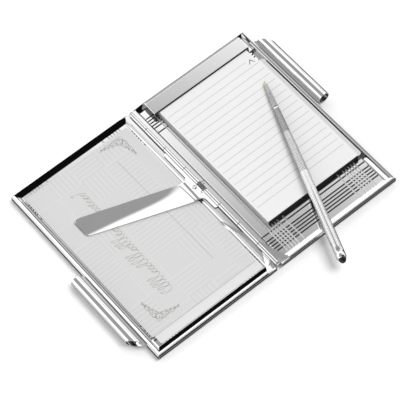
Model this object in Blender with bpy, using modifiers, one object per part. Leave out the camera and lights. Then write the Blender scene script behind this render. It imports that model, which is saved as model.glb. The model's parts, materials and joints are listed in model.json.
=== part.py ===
"""Hinged pocket notepad holder: two pressed metal covers on a piano hinge.

The right-hand cover holds a ruled pad under a fixed band, the left-hand cover holds a card
under a sprung clip arm, and a slim pen lies across the pad. The holder lies open and flat:
+X across the covers, +Y along the spine towards the band, +Z up, metres.
"""
import math

import bmesh
import bpy
from mathutils import Matrix, Vector

MM = 0.001

# driving dimensions, millimetres
COVER_WIDTH = 88.9
COVER_LENGTH = 139.7
HALF_LENGTH = COVER_LENGTH / 2
HINGE_Z = 4.8
SPINE_Y = 12.75  # puts the origin under the middle of the open holder, pen included
SPINE_GAP = 1.7  # from the hinge axis to the side of a cover
FIT_GAP = 0.3  # between pieces that touch
SHEET = 0.5  # metal of the covers

SHELL_TOP = 2.9
BASE_TOP = 1.6
SKIRT_BOTTOM = 3.2
RIM_TOP = 4.65
SPINE_RIM_TOP = 3.8
TOE = 5.2  # from a cover's edge to the foot of its sloped inner wall
SPINE_TOE = 3.9

KNUCKLE_R = 1.4
KNUCKLE_BORE_R = 0.72
PIN_R = 0.6
LEAF_X = (0.9, 1.4)
LEAF_Z = (0.9, 3.1)
PAD_KNUCKLES = ((53.3, 68.0), (16.9, 35.2), (-33.2, -16.1), (-68.0, -51.3))
CARD_KNUCKLES = ((35.5, 53.0), (-51.0, -33.5))
ARM_KNUCKLES = ((3.8, 16.6), (-15.8, -2.9))
SPRING_SPAN = (-2.5, 3.4)
SPRING_COIL_R = 1.1
SPRING_WIRE_R = 0.2

TUBE_X = 94.0  # pen tube axis, level with the hinge axis so that both line up when closed
TUBE_R = 3.6
TUBE_BORE_R = 3.15
TUBE_INNER_END = 0.25  # from the middle of the spine to a tube's square end
TUBE_OUTER_END = 50.2  # to the far corner of its slanted end
TUBE_SLANT = 10.0  # how much further the web reaches along the cover

BAND_Y = (58.2, 66.8)
BAND_X = (10.3, 83.5)
BAND_TOP = 6.45
BAND_BEND_Y = 64.6
BAND_DIP = 0.85
BAND_FOOT_RISE = 2.3  # the legs follow the sloped end wall

PAD_X = (13.4, 82.4)
PAD_Y = (-43.9, 64.0)
PAD_CORNER = (77.0, 47.2)  # where the stack steps in beside the index tab
CARRIER_Z = (1.9, 4.1)
BOARD_Z = (4.35, 4.6)
PAGES_Z = (4.85, 5.25)
TOP_SHEET_Z = (5.5, 5.7)

CARD_X = (-83.2, -7.4)
CARD_Y = (-57.0, 64.2)
CARD_Z = (1.9, 2.3)

ARM_TIP = ((-69.9, 33.4), (-71.0, 19.7))
ARM_ROOT = ((-5.5, 10.2), (-6.9, -4.7))
ARM_THICKNESS = 0.6
ARM_PLATE_X = (-3.5, -0.8)
ARM_CORNER_R = 1.4
ARM_FILLET_R = 2.6
RIVET_X, RIVET_Y = -3.4, 3.3
RIVET_SHANK_R = 0.5
RIVET_HEAD_R = 1.3

PEN_TIP = Vector((73.9, 32.0, 7.45))
PEN_TAIL = Vector((26.9, -95.2, 10.35))
PEN_NOSE_END = 20.5
PEN_STEPS = 24
HINGE_STEPS = 20


def clear_scene():
    """Remove whatever the file already holds."""
    for obj in list(bpy.data.objects):
        bpy.data.objects.remove(obj, do_unlink=True)


def new_collection(name):
    collection = bpy.data.collections.new(name)
    bpy.context.scene.collection.children.link(collection)
    return collection


def finish_material(name, colour, roughness, metallic):
    """A Principled material in one plain finish."""
    material = bpy.data.materials.new(name)
    material.use_nodes = True
    shader = material.node_tree.nodes["Principled BSDF"]
    shader.inputs["Base Color"].default_value = (*colour, 1.0)
    shader.inputs["Roughness"].default_value = roughness
    shader.inputs["Metallic"].default_value = metallic
    return material


def add_piece(name, bm, material, parent, transform=None):
    """Make an object from a bmesh drawn in millimetres, and hang it on its frame."""
    bmesh.ops.scale(bm, vec=(MM, MM, MM), verts=bm.verts)
    mesh = bpy.data.meshes.new(name)
    bm.to_mesh(mesh)
    bm.free()
    mesh.materials.append(material)
    obj = bpy.data.objects.new(name, mesh)
    PARTS.objects.link(obj)
    obj.parent = parent
    if transform is not None:
        obj.matrix_local = transform
    return obj


def shade_round(obj):
    obj.data.shade_smooth()
    obj.data.set_sharp_from_angle(angle=math.radians(35))


def box_mesh(low, high):
    """A box between two corners, from a primitive cube."""
    bm = bmesh.new()
    bmesh.ops.create_cube(bm, size=1.0)
    low, high = Vector(low), Vector(high)
    bmesh.ops.scale(bm, vec=high - low, verts=bm.verts)
    bmesh.ops.translate(bm, vec=(low + high) / 2, verts=bm.verts)
    return bm


def rod_mesh(y_low, y_high, radius, centre=(0.0, HINGE_Z), steps=HINGE_STEPS):
    """A cylinder along Y, from a primitive cone."""
    bm = bmesh.new()
    bmesh.ops.create_cone(
        bm, cap_ends=True, segments=steps, radius1=radius, radius2=radius, depth=y_high - y_low
    )
    middle = Vector((centre[0], (y_low + y_high) / 2, centre[1]))
    turn = Matrix.Rotation(math.radians(90), 4, "X")
    bmesh.ops.transform(bm, matrix=Matrix.Translation(middle) @ turn, verts=bm.verts)
    return bm


def boolean(obj, other, operation):
    """Join or cut with a helper object, and apply it."""
    modifier = obj.modifiers.new(operation.title(), "BOOLEAN")
    modifier.operation = operation
    modifier.object = other
    modifier.solver = "EXACT"
    bpy.context.view_layer.update()
    result = bpy.data.meshes.new_from_object(obj.evaluated_get(bpy.context.evaluated_depsgraph_get()))
    obj.modifiers.clear()
    obj.data = result


def helper(name, bm, parent):
    """A cutter or a joining block: drawn as wire and left out of the part."""
    obj = add_piece(name, bm, METAL, parent)
    PARTS.objects.unlink(obj)
    CUTTERS.objects.link(obj)
    obj.hide_render = True
    obj.display_type = "WIRE"
    return obj


def join_all(obj, meshes, parent):
    for number, bm in enumerate(meshes):
        boolean(obj, helper(f"{obj.name}_join_{number}", bm, parent), "UNION")


def rectangle_ring(side, spine_inset, edge_inset, z):
    """The corners of a cover's outline pulled in by the two insets."""
    x_spine = side * (SPINE_GAP + spine_inset)
    x_edge = side * (COVER_WIDTH - edge_inset)
    y = HALF_LENGTH - edge_inset
    return [Vector(p) for p in ((x_spine, -y, z), (x_edge, -y, z), (x_edge, y, z), (x_spine, y, z))]


def pressed_pan(side, rings, faces_up):
    """A flat base whose boundary is drawn outwards ring by ring into its walls."""
    bm = bmesh.new()
    bmesh.ops.create_grid(bm, x_segments=1, y_segments=1, size=1.0)
    corners = rectangle_ring(side, *rings[0])
    for vert in bm.verts:
        near = vert.co.x < 0 if side > 0 else vert.co.x > 0
        low = vert.co.y < 0
        order = {(True, True): 0, (False, True): 1, (False, False): 2, (True, False): 3}
        vert.co = corners[order[near, low]]
    for spine_inset, edge_inset, z in rings[1:]:
        rim = [e for e in bm.edges if e.is_boundary]
        new = bmesh.ops.extrude_edge_only(bm, edges=rim)["geom"]
        target = rectangle_ring(side, spine_inset, edge_inset, z)
        for vert in (v for v in new if isinstance(v, bmesh.types.BMVert)):
            vert.co = min(target, key=lambda p: (p - vert.co).to_2d().length)
    bmesh.ops.recalc_face_normals(bm, faces=bm.faces)
    base = max(bm.faces, key=lambda f: f.calc_area())
    if (base.normal.z > 0) != faces_up:
        bmesh.ops.reverse_faces(bm, faces=bm.faces)
    return bm


def lower_spine_rim(bm, side):
    """Drop the rim beside the spine, so that the hinge and the arm clear it when closed."""
    start, end = SPINE_GAP + 6.0, SPINE_GAP + 2.2
    for x in (start, end):
        geometry = bm.verts[:] + bm.edges[:] + bm.faces[:]
        bmesh.ops.bisect_plane(bm, geom=geometry, plane_co=(side * x, 0, 0), plane_no=(1, 0, 0))
    share = (SPINE_RIM_TOP - SKIRT_BOTTOM) / (RIM_TOP - SKIRT_BOTTOM)
    for vert in bm.verts:
        reach = min(max((start - abs(vert.co.x)) / (start - end), 0.0), 1.0)
        if vert.co.z > SKIRT_BOTTOM:
            height = vert.co.z - SKIRT_BOTTOM
            vert.co.z = SKIRT_BOTTOM + height * (1 - reach * (1 - share))


def add_cover(name, side, parent):
    """The outer shell of one cover and the tray pressed to fit on it."""
    shell_rings = (
        (2.2, 2.2, 0.0),
        (1.0, 1.0, 0.25),
        (0.3, 0.3, 1.0),
        (0.0, 0.0, 2.0),
        (0.0, 0.0, SHELL_TOP),
    )
    tray_rings = (
        (SPINE_TOE, TOE, BASE_TOP),
        (3.4, 4.6, 1.75),
        (2.9, 4.0, 2.15),
        (2.0, 2.6, 4.0),
        (1.8, 2.3, 4.4),
        (1.4, 1.7, RIM_TOP),
        (0.6, 0.6, RIM_TOP),
        (0.2, 0.2, 4.5),
        (0.0, 0.0, 4.1),
        (0.0, 0.0, SKIRT_BOTTOM),
    )
    shell = add_piece(f"{name}_shell", pressed_pan(side, shell_rings, False), METAL, parent)
    bm = pressed_pan(side, tray_rings, True)
    lower_spine_rim(bm, side)
    tray = add_piece(f"{name}_tray", bm, METAL, parent)
    for obj in (shell, tray):
        modifier = obj.modifiers.new("Sheet", "SOLIDIFY")
        modifier.thickness = SHEET * MM
        modifier.offset = -1.0
        modifier.use_even_offset = True


def add_leaf(name, side, knuckles, parent):
    """A hinge leaf: a strip down the cover's side with its own rolled knuckles."""
    x = sorted((side * LEAF_X[0], side * LEAF_X[1]))
    y_end = max(abs(y) for span in PAD_KNUCKLES for y in span)
    strip = box_mesh((x[0], -y_end, LEAF_Z[0]), (x[1], y_end, LEAF_Z[1]))
    leaf = add_piece(name, strip, METAL, parent)
    blocks = []
    for low, high in knuckles:
        blocks.append(box_mesh((x[0], low, LEAF_Z[1] - 0.2), (x[1], high, HINGE_Z)))
        blocks.append(rod_mesh(low, high, KNUCKLE_R))
    join_all(leaf, blocks, parent)
    bore = helper(f"{name}_bore", rod_mesh(-70.0, 70.0, KNUCKLE_BORE_R), parent)
    boolean(leaf, bore, "DIFFERENCE")


def add_pin(parent):
    """The hinge wire with a small head rolled at each end."""
    pin = add_piece("hinge_pin", rod_mesh(-69.4, 69.4, PIN_R), METAL, parent)
    heads = [rod_mesh(s * 68.85 - 0.45, s * 68.85 + 0.45, 1.1) for s in (-1, 1)]
    join_all(pin, heads, parent)


def add_pen_tube(name, side, parent):
    """An open tube on a web along the cover's long edge, with one end cut slanting."""
    inner, outer = side * TUBE_INNER_END, side * (TUBE_OUTER_END + TUBE_SLANT + 2.0)
    low, high = min(inner, outer), max(inner, outer)
    centre = (side * TUBE_X, HINGE_Z)
    tube = add_piece(name, rod_mesh(low, high, TUBE_R, centre, PEN_STEPS), METAL, parent)
    x = sorted((side * (COVER_WIDTH + FIT_GAP), side * (TUBE_X - TUBE_R + 0.6)))
    join_all(tube, [box_mesh((x[0], low, 4.0), (x[1], high, 4.5))], parent)
    bore = rod_mesh(low - 3, high + 3, TUBE_BORE_R, centre, PEN_STEPS)
    boolean(tube, helper(f"{name}_bore", bore, parent), "DIFFERENCE")
    slant = box_mesh((-30, 0, -20), (30, 40, 20))
    angle = math.atan2(TUBE_SLANT, TUBE_R + TUBE_X - COVER_WIDTH)
    turn = Matrix.Rotation(-angle, 4, "Z")
    corner = Vector((TUBE_X + TUBE_R, TUBE_OUTER_END, HINGE_Z))
    bmesh.ops.transform(slant, matrix=Matrix.Translation(corner) @ turn, verts=slant.verts)
    if side < 0:
        half_turn = Matrix.Rotation(math.radians(180), 4, "Z")
        bmesh.ops.transform(slant, matrix=half_turn, verts=slant.verts)
    boolean(tube, helper(f"{name}_slant", slant, parent), "DIFFERENCE")
    shade_round(tube)


def add_band(parent):
    """The strip that bridges the head of the pad on a leg at each end, bent from one sheet."""
    foot = BASE_TOP + FIT_GAP
    rows = (
        (BAND_Y[0], BAND_TOP, foot),
        (BAND_BEND_Y, BAND_TOP, foot),
        (BAND_Y[1], BAND_TOP - BAND_DIP, foot + BAND_FOOT_RISE),
    )
    bm = bmesh.new()
    bmesh.ops.create_grid(bm, x_segments=3, y_segments=len(rows) - 1, size=1.0)
    columns = sorted({round(v.co.x, 4) for v in bm.verts})
    levels = sorted({round(v.co.y, 4) for v in bm.verts})
    for vert in bm.verts:
        column = columns.index(round(vert.co.x, 4))
        y, top, bottom = rows[levels.index(round(vert.co.y, 4))]
        vert.co = Vector((BAND_X[column // 2], y, top if column in (1, 2) else bottom))
    band = add_piece("retaining_band", bm, METAL, parent)
    sheet = band.modifiers.new("Sheet", "SOLIDIFY")
    sheet.thickness = SHEET * MM
    sheet.offset = -1.0
    sheet.use_even_offset = True


def stepped_outline():
    """The pad's outline, narrower beside the band and full width below its index tab."""
    radius, arc_steps = 2.0, 4
    x_low, x_high = PAD_X
    y_low, y_high = PAD_Y
    points = [(x_low, y_high), (x_low, y_low), (x_high, y_low)]
    for step in range(arc_steps + 1):
        angle = math.radians(90) * step / arc_steps
        x = x_high - radius + radius * math.cos(angle)
        y = PAD_CORNER[1] - radius + radius * math.sin(angle)
        points.append((x, y))
    points += [(PAD_CORNER[0], PAD_CORNER[1]), (PAD_CORNER[0], y_high)]
    return points


def slab_mesh(points, z_low, z_high):
    """A flat outline filled and raised between two heights."""
    bm = bmesh.new()
    verts = [bm.verts.new((x, y, z_low)) for x, y in points]
    edges = [bm.edges.new((verts[i - 1], verts[i])) for i in range(len(verts))]
    faces = bmesh.ops.contextual_create(bm, geom=edges)["faces"]
    raised = bmesh.ops.extrude_face_region(bm, geom=faces)["geom"]
    top = [v for v in raised if isinstance(v, bmesh.types.BMVert)]
    bmesh.ops.translate(bm, vec=(0, 0, z_high - z_low), verts=top)
    bmesh.ops.recalc_face_normals(bm, faces=bm.faces)
    return bm


def add_pad_carrier(parent):
    """The shallow metal tray, open side down, that raises the pad off the floor of its cover."""
    bm = bmesh.new()
    bmesh.ops.create_grid(bm, x_segments=1, y_segments=1, size=1.0)
    for vert in bm.verts:
        x, y = PAD_X[vert.co.x > 0], PAD_Y[vert.co.y > 0]
        vert.co = Vector((x, y, CARRIER_Z[1]))
    rim = [e for e in bm.edges if e.is_boundary]
    for vert in bmesh.ops.extrude_edge_only(bm, edges=rim)["geom"]:
        if isinstance(vert, bmesh.types.BMVert):
            vert.co.z = CARRIER_Z[0]
    bmesh.ops.recalc_face_normals(bm, faces=bm.faces)
    top = max(bm.faces, key=lambda f: f.calc_area())
    if top.normal.z < 0:
        bmesh.ops.reverse_faces(bm, faces=bm.faces)
    carrier = add_piece("pad_carrier", bm, METAL, parent)
    sheet = carrier.modifiers.new("Sheet", "SOLIDIFY")
    sheet.thickness = SHEET * MM
    sheet.offset = -1.0
    sheet.use_even_offset = True


def add_notepad(parent):
    """Backing board, stack of pages, glued head strip and the ruled top sheet."""
    board = box_mesh((PAD_X[0], PAD_Y[0], BOARD_Z[0]), (PAD_X[1], PAD_Y[1], BOARD_Z[1]))
    add_piece("backing_board", board, GREY_BOARD, parent)
    add_piece("page_block", slab_mesh(stepped_outline(), *PAGES_Z), PAPER, parent)
    add_piece("top_sheet", slab_mesh(stepped_outline(), *TOP_SHEET_Z), PAPER, parent)
    y = PAD_Y[1] + FIT_GAP
    strip = box_mesh((PAD_X[0], y, CARRIER_Z[0]), (PAD_CORNER[0], y + 0.4, PAGES_Z[1] - 0.1))
    add_piece("glued_head_strip", strip, PAPER, parent)


def add_card(parent):
    card = box_mesh((CARD_X[0], CARD_Y[0], CARD_Z[0]), (CARD_X[1], CARD_Y[1], CARD_Z[1]))
    add_piece("insert_card", card, CARD, parent)


def round_corner(before, corner, after, radius, steps=5):
    """The points of an arc of the given radius that rounds one corner of an outline."""
    corner = Vector(corner)
    to_before = (Vector(before) - corner).normalized()
    to_after = (Vector(after) - corner).normalized()
    half = to_before.angle(to_after) / 2
    reach = radius / math.tan(half)
    centre = corner + (to_before + to_after).normalized() * radius / math.sin(half)
    start = corner + to_before * reach - centre
    sweep = start.angle_signed(corner + to_after * reach - centre)
    points = []
    for step in range(steps + 1):
        turned = start.copy()
        turned.rotate(Matrix.Rotation(-sweep * step / steps, 2))
        points.append(tuple(centre + turned))
    return points


def arm_outline():
    """The arm seen from above: a strip that flares into a T beside the hinge."""
    x_far, x_near = ARM_PLATE_X
    y_high, y_low = ARM_KNUCKLES[0][1], ARM_KNUCKLES[1][0]
    window = (SPRING_SPAN[0] - 0.15, SPRING_SPAN[1] + 0.15)
    corners = [
        ((x_near, y_high), 0),
        ((x_far, y_high), ARM_CORNER_R),
        ((x_far, ARM_ROOT[0][1] + 1.0), ARM_FILLET_R),
        (ARM_TIP[0], ARM_CORNER_R),
        (ARM_TIP[1], ARM_CORNER_R),
        ((x_far, ARM_ROOT[1][1] - 1.4), ARM_FILLET_R),
        ((x_far, y_low), ARM_CORNER_R),
        ((x_near, y_low), 0),
        ((x_near, window[0]), 0),
        ((-1.7, window[0]), 0),
        ((-1.7, window[1]), 0),
        ((x_near, window[1]), 0),
    ]
    points = []
    for number, (corner, radius) in enumerate(corners):
        if radius == 0:
            points.append(corner)
            continue
        before, after = corners[number - 1][0], corners[(number + 1) % len(corners)][0]
        points += round_corner(before, corner, after, radius)
    return points


def arm_underside(x):
    """Height of the arm's lower face: level by the hinge, then down to the card."""
    stations = ((0.0, 4.2), (-4.2, 4.2), (-9.5, 2.9), (-73.0, 2.6))
    for (x_a, z_a), (x_b, z_b) in zip(stations, stations[1:]):
        if x >= x_b:
            return z_a + (z_b - z_a) * (x - x_a) / (x_b - x_a)
    return stations[-1][1]


def add_arm(parent):
    """The clip arm: a bent strip whose root is rolled into two knuckles."""
    bm = slab_mesh(arm_outline(), 0.0, ARM_THICKNESS)
    for x in (-4.2, -9.5, -40.0):
        geometry = bm.verts[:] + bm.edges[:] + bm.faces[:]
        bmesh.ops.bisect_plane(bm, geom=geometry, plane_co=(x, 0, 0), plane_no=(1, 0, 0))
    for vert in bm.verts:
        vert.co.z += arm_underside(vert.co.x)
    bmesh.ops.triangulate(bm, faces=bm.faces)
    arm = add_piece("clip_arm", bm, METAL, parent)
    join_all(arm, [rod_mesh(low, high, KNUCKLE_R) for low, high in ARM_KNUCKLES], parent)
    bore = helper("clip_arm_bore", rod_mesh(-20.0, 20.0, KNUCKLE_BORE_R), parent)
    boolean(arm, bore, "DIFFERENCE")
    hole = disc_mesh(RIVET_SHANK_R + FIT_GAP, 3.0, 6.0)
    boolean(arm, helper("clip_arm_rivet_hole", hole, parent), "DIFFERENCE")


def disc_mesh(radius, z_low, z_high):
    """An upright cylinder on the rivet's axis, from a primitive cone."""
    bm = bmesh.new()
    bmesh.ops.create_cone(
        bm, cap_ends=True, segments=HINGE_STEPS, radius1=radius, radius2=radius, depth=z_high - z_low
    )
    bmesh.ops.translate(bm, vec=(RIVET_X, RIVET_Y, (z_low + z_high) / 2), verts=bm.verts)
    return bm


def add_rivet(parent):
    """The small headed rivet through the root of the arm."""
    top = arm_underside(RIVET_X) + ARM_THICKNESS
    rivet = add_piece("arm_rivet", disc_mesh(RIVET_HEAD_R, top + FIT_GAP, top + 0.7), METAL, parent)
    join_all(rivet, [disc_mesh(RIVET_SHANK_R, top - 0.8, top + FIT_GAP + 0.1)], parent)


def add_spring(parent):
    """The torsion spring wound round the pin in the gap between the arm's knuckles."""
    turns, steps_a_turn = 7, 12
    low, high = SPRING_SPAN[0] + 0.5, SPRING_SPAN[1] - 0.5
    points = [(-3.2, low, HINGE_Z + 0.55), (-1.6, low, HINGE_Z + 0.9)]
    for step in range(turns * steps_a_turn + 1):
        angle = math.radians(125) - math.tau * step / steps_a_turn
        share = step / (turns * steps_a_turn)
        x, z = SPRING_COIL_R * math.cos(angle), SPRING_COIL_R * math.sin(angle)
        points.append((x, low + share * (high - low), HINGE_Z + z))
    points += [(0.4, high, HINGE_Z + 1.25), (3.6, high, HINGE_Z + 0.45)]
    curve = bpy.data.curves.new("torsion_spring", "CURVE")
    curve.dimensions = "3D"
    curve.bevel_depth = SPRING_WIRE_R * MM
    curve.bevel_resolution = 1
    curve.use_fill_caps = True
    spline = curve.splines.new("POLY")
    spline.points.add(len(points) - 1)
    for point, place in zip(spline.points, points):
        point.co = (*(Vector(place) * MM), 1.0)
    curve.materials.append(SPRING_STEEL)
    spring = bpy.data.objects.new("torsion_spring", curve)
    PARTS.objects.link(spring)
    spring.parent = parent


def turned(name, profile, material, parent, transform, closed=False):
    """A turned piece: (radius, station) points, tail end first down the outer side."""
    bm = bmesh.new()
    verts = [bm.verts.new((radius, 0.0, station)) for radius, station in profile]
    for first, second in zip(verts, verts[1:] + verts[:1] if closed else verts[1:]):
        bm.edges.new((first, second))
    obj = add_piece(name, bm, material, parent, transform)
    screw = obj.modifiers.new("Turn", "SCREW")
    screw.steps = PEN_STEPS
    screw.render_steps = PEN_STEPS
    screw.use_merge_vertices = True
    screw.merge_threshold = 0.00001
    return obj


def pen_transform():
    """The pen's own frame: origin at the writing point, +Z towards its tail."""
    along = (PEN_TAIL - PEN_TIP).normalized()
    return Matrix.Translation(PEN_TIP * MM) @ along.to_track_quat("Z", "Y").to_matrix().to_4x4()


def barrel_radius(station):
    """The long taper of the pen, from its nose to the full width near its tail."""
    stations = ((6.8, 1.15), (14.0, 1.55), (20.5, 1.8), (50.0, 2.5), (85.0, 3.0), (140.0, 3.0))
    for (s_a, r_a), (s_b, r_b) in zip(stations, stations[1:]):
        if station <= s_b:
            return r_a + (r_b - r_a) * (station - s_a) / (s_b - s_a)
    return stations[-1][1]


def add_pen(parent):
    """Slim pen: nose, barrel, tail cap, joining sleeve and the refill with its brass point."""
    place = pen_transform()
    length = (PEN_TAIL - PEN_TIP).length
    tail = length - 3.6
    split = PEN_NOSE_END
    nose = [(barrel_radius(split), split), (barrel_radius(14.0), 14.0), (barrel_radius(6.8), 6.8)]
    nose += [(0.98, 6.8), (0.98, 10.5), (1.2, 10.5), (1.2, 15.0), (1.5, 15.0), (1.5, split)]
    turned("pen_nose", nose, METAL, parent, place, closed=True)
    start = split + FIT_GAP
    barrel = [(0.0, tail), (3.0, tail), (3.0, 85.0), (2.5, 50.0), (barrel_radius(start), start)]
    barrel += [(1.5, start), (1.5, 34.0), (2.0, 45.0), (2.4, 75.0), (2.4, tail - 2.0), (0.0, tail - 2.0)]
    turned("pen_barrel", barrel, METAL, parent, place)
    dome = [(0.0, length)]
    for step in range(1, 6):
        angle = math.radians(90) * step / 5
        dome.append((2.8 * math.sin(angle), tail + 0.9 + 2.7 * math.cos(angle)))
    dome += [(2.8, tail + FIT_GAP), (0.0, tail + FIT_GAP)]
    turned("pen_tail_cap", dome, BLACK_CAP, parent, place)
    sleeve = [(1.4, 32.0), (1.4, 15.3), (1.2, 15.3), (1.2, 32.0)]
    turned("twist_sleeve", sleeve, BRASS, parent, place, closed=True)
    refill = [(0.0, 95.0), (1.05, 95.0), (1.05, 12.3), (0.0, 12.3)]
    turned("refill_tube", refill, REFILL, parent, place)
    point = [(0.0, 12.0), (1.05, 12.0), (1.05, 10.9), (0.85, 10.9)]
    point += [(0.85, 3.2), (0.6, 1.6), (0.35, 0.35), (0.0, 0.0)]
    turned("refill_point", point, BRASS, parent, place)


def main():
    frame = bpy.data.objects.new("holder_frame", None)
    frame.location = (0.0, SPINE_Y * MM, 0.0)
    PARTS.objects.link(frame)
    add_cover("pad_cover", 1, frame)
    add_cover("card_cover", -1, frame)
    add_leaf("pad_hinge_leaf", 1, PAD_KNUCKLES, frame)
    add_leaf("card_hinge_leaf", -1, CARD_KNUCKLES, frame)
    add_pin(frame)
    add_pen_tube("pad_pen_tube", 1, frame)
    add_pen_tube("card_pen_tube", -1, frame)
    add_band(frame)
    add_pad_carrier(frame)
    add_notepad(frame)
    add_card(frame)
    add_arm(frame)
    add_rivet(frame)
    add_spring(frame)
    add_pen(frame)


clear_scene()
PARTS = new_collection("notepad_holder")
CUTTERS = new_collection("notepad_holder_cutters")
METAL = finish_material("plated_metal", (0.86, 0.86, 0.87), 0.08, 1.0)
SPRING_STEEL = finish_material("spring_steel", (0.55, 0.55, 0.56), 0.25, 1.0)
BRASS = finish_material("brass", (0.72, 0.55, 0.27), 0.2, 1.0)
PAPER = finish_material("paper", (0.94, 0.94, 0.95), 0.8, 0.0)
CARD = finish_material("card", (0.72, 0.72, 0.72), 0.6, 0.0)
GREY_BOARD = finish_material("grey_board", (0.35, 0.35, 0.35), 0.7, 0.0)
BLACK_CAP = finish_material("black_cap", (0.02, 0.02, 0.02), 0.2, 0.0)
REFILL = finish_material("refill_plastic", (0.8, 0.82, 0.85), 0.4, 0.0)
main()
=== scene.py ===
"""Looks of an open pocket notepad holder: plated covers on a piano hinge, pad, card and pen.

Everything is drawn in millimetres from the middle of the hinge line, with z from the table, and
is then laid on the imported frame, which is in metres.
"""
import json
import math
import random

import bmesh
import bpy
from mathutils import Matrix, Vector


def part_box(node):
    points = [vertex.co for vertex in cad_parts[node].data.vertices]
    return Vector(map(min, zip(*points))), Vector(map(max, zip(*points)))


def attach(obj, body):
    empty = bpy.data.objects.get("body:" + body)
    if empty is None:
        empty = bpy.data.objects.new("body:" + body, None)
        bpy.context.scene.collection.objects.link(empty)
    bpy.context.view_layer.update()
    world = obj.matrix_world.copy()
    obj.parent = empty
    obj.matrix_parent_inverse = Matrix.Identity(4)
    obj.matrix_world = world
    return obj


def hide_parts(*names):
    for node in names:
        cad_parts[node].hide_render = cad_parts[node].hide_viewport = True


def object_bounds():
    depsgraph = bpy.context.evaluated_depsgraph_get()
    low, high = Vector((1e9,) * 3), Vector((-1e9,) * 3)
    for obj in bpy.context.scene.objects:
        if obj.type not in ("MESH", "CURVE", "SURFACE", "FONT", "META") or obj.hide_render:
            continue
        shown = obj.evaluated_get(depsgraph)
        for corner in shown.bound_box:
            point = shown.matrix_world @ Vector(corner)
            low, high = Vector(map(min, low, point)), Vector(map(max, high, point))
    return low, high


bl_info = {
    "name": "Hinged Notepad Holder",
    "version": (1, 0, 0),
    "blender": (4, 5, 0),
    "location": "View3D > Sidebar > Notepad",
    "description": "Builds the looks of a plated pocket notepad holder around its frame",
    "category": "Add Mesh",
}

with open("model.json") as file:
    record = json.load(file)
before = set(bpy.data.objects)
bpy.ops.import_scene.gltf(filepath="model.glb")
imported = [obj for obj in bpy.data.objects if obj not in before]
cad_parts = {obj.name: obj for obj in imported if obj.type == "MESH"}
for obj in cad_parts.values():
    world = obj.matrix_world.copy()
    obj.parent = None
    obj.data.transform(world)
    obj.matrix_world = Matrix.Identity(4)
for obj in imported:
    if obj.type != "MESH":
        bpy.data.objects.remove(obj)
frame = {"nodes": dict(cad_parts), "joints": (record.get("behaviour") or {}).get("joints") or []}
cad_low, cad_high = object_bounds()

MM = 0.001
JOINTS = {joint["name"]: joint for joint in frame["joints"]}
HINGE = Vector(JOINTS["cover_hinge"]["pos_m"])
HINGE_Z = HINGE.z / MM
TO_FRAME = Matrix.Translation((0.0, HINGE.y, 0.0)) @ Matrix.Scale(MM, 4)
TO_MM = TO_FRAME.inverted()


def box_of(node):
    """A node's lowest and highest corner in millimetres from the middle of the hinge."""
    low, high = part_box(node)
    return TO_MM @ low, TO_MM @ high


SHELL_LOW, SHELL_HIGH = box_of("pad_cover_shell")
TRAY_LOW, TRAY_HIGH = box_of("pad_cover_tray")
COVER_WIDTH = SHELL_HIGH.x
HALF_LENGTH = SHELL_HIGH.y
SPINE_GAP = SHELL_LOW.x
SHEET = 0.5
SIDES = (("pad", 1), ("card", -1))


# ---- sizes and colours


def number(name, description, default, **options):
    """A number in the settings, in millimetres unless its options say otherwise."""
    return bpy.props.FloatProperty(name=name, description=description, default=default, **options)


def shade(name, description, *default):
    """A colour in the settings."""
    return bpy.props.FloatVectorProperty(
        name=name, description=description, subtype="COLOR", default=default
    )


class CoverSizes(bpy.types.PropertyGroup):
    spine_rim: number("Spine rim", "Height of the rim beside the hinge", 3.8)
    groove_width: number("Groove width", "Width of an engraved line", 0.95)
    groove_depth: number("Groove depth", "Depth of an engraved line", 0.16)
    plate_colour: shade("Plate", "Bright plated metal", 0.93, 0.93, 0.935)


class PadSizes(bpy.types.PropertyGroup):
    line_pitch: number("Line pitch", "Distance between the ruled lines", 5.2)
    line_width: number("Line width", "Width of a ruled line", 0.3)
    paper_colour: shade("Paper", "Ruled paper", 0.78, 0.78, 0.785)
    line_colour: shade("Lines", "Ruled lines", 0.33, 0.33, 0.34)


class CardSizes(bpy.types.PropertyGroup):
    card_colour: shade("Card", "Ground of the card", 0.645, 0.645, 0.65)
    print_colour: shade("Pattern", "Faint pattern on the card", 0.595, 0.595, 0.60)
    ink_colour: shade("Ink", "Warm grey ink of the ornaments", 0.44, 0.425, 0.375)


class PenSizes(bpy.types.PropertyGroup):
    flutes: bpy.props.IntProperty(
        name="Flutes", description="Fine flutes round the barrel", default=22, min=6, max=48
    )
    flute_depth: number("Flute depth", "Depth of a flute", 0.06)
    brass_colour: shade("Brass", "Writing point", 0.80, 0.60, 0.32)


class StageSizes(bpy.types.PropertyGroup):
    azimuth: number("Azimuth", "Where the camera stands", math.radians(-32.25), subtype="ANGLE")
    elevation: number("Elevation", "Height of the camera", math.radians(58.84), subtype="ANGLE")
    roll: number("Roll", "Turn of the camera about its view", math.radians(-7.94), subtype="ANGLE")
    distance: number("Distance", "Metres from the camera to its aim", 1.3096, unit="LENGTH")
    lens: number("Lens", "Focal length on a 36 mm sensor", 201.9, subtype="DISTANCE_CAMERA")
    floor_colour: shade("Floor", "Plain pale floor", 0.95, 0.95, 0.95)


SETTINGS = {
    "notepad_cover": CoverSizes,
    "notepad_pad": PadSizes,
    "notepad_card": CardSizes,
    "notepad_pen": PenSizes,
    "notepad_stage": StageSizes,
}


# ---- shader expressions


def two_sided(operation, swapped=False):
    """An operator of two values that adds its Math node."""

    def combine(self, other):
        return self.maths(operation, *((other, self) if swapped else (self, other)))

    return combine


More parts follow.
